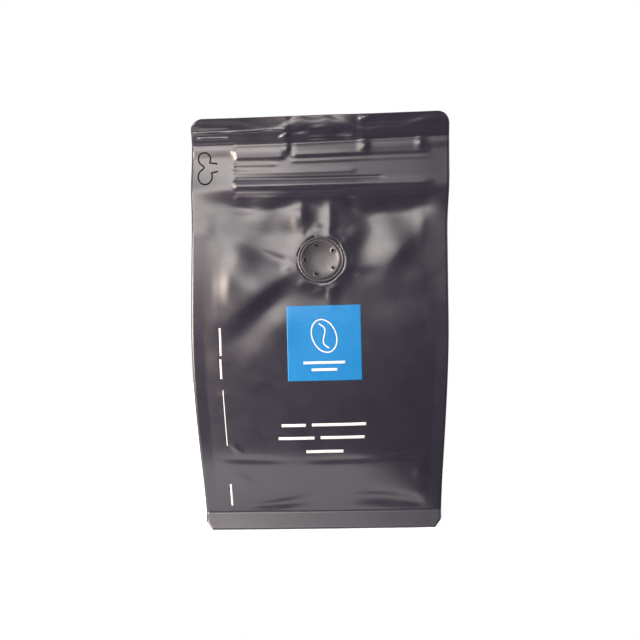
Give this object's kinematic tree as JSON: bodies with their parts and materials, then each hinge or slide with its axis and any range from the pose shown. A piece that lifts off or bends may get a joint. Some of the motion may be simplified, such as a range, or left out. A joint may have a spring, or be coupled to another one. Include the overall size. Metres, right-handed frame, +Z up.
{
  "type": "coffee bag",
  "caption": "Filled flat-bottom coffee bag of dark satin film, with a press-to-close zip under a sealed header, a round degassing valve and a square label; it stands on its base.",
  "frame": {"origin": "middle of the bag's box, on the plane that it stands on", "axes": "+Z up to the header, +X to the right across the front, and the front with the label and the valve faces -Y"},
  "size_m": [0.1332, 0.0828, 0.2051],
  "materials": {
    "film": "satin purple-black laminated film",
    "valve": "satin grey-black plastic",
    "label": "satin blue printed label"
  },
  "bodies": {
    "root": {"bag": "film", "valve": "valve", "label": "label"}
  },
  "joints": []
}
